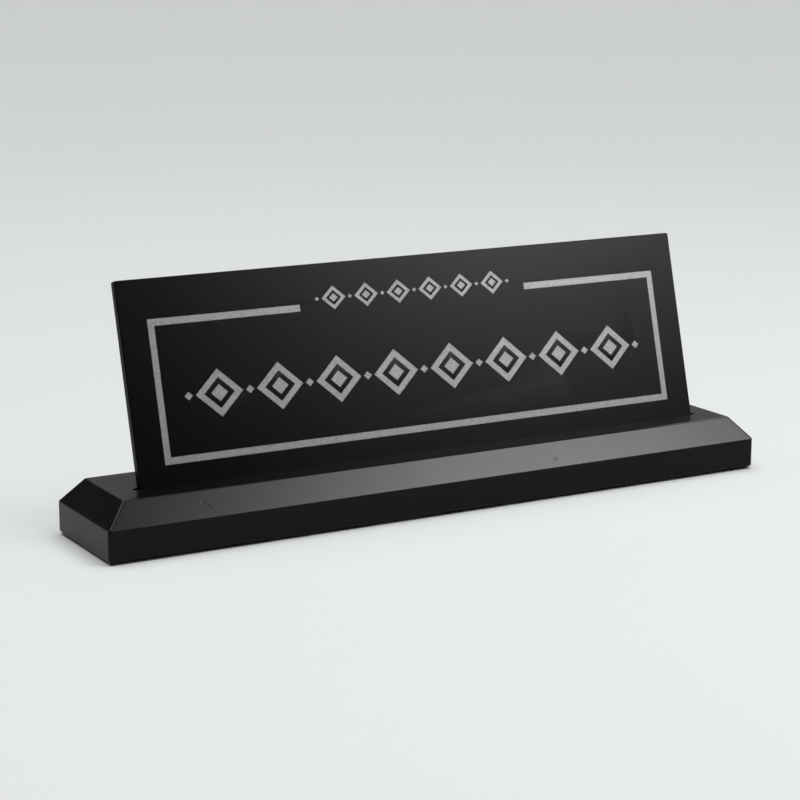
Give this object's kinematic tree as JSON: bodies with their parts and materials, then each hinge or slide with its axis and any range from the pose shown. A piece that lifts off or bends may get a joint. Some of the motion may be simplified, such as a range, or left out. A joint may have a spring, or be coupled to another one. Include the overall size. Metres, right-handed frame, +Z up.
{
  "type": "desk name plate",
  "caption": "Desk name plate: a long bevelled base block on a pad, with an engraved plate that leans back in a slanted slot and lifts out.",
  "frame": {"origin": "on the surface that the object stands on, under the middle of the base block", "axes": "+X along the base block to the right as seen from the front, +Y to the back, the way the plate leans, +Z up"},
  "size_m": [0.254, 0.044, 0.0846],
  "materials": {
    "black_lacquer": "gloss black lacquer on wood",
    "felt": "pressed black felt",
    "satin_black_sheet": "satin black sheet with eased edges",
    "silver_fill": "grainy silver-grey paint"
  },
  "bodies": {
    "base": {"base_block": "black_lacquer", "base_pad": "felt"},
    "plate": {"name_plate": "satin_black_sheet", "border_fill": "silver_fill", "large_row_fill": "silver_fill", "small_row_fill": "silver_fill"}
  },
  "joints": [
    {"name": "plate_lift", "type": "slide", "parent": "base", "child": "plate", "axis": [0, 0.2588, 0.9659], "range_m": [0, 0.012]}
  ]
}
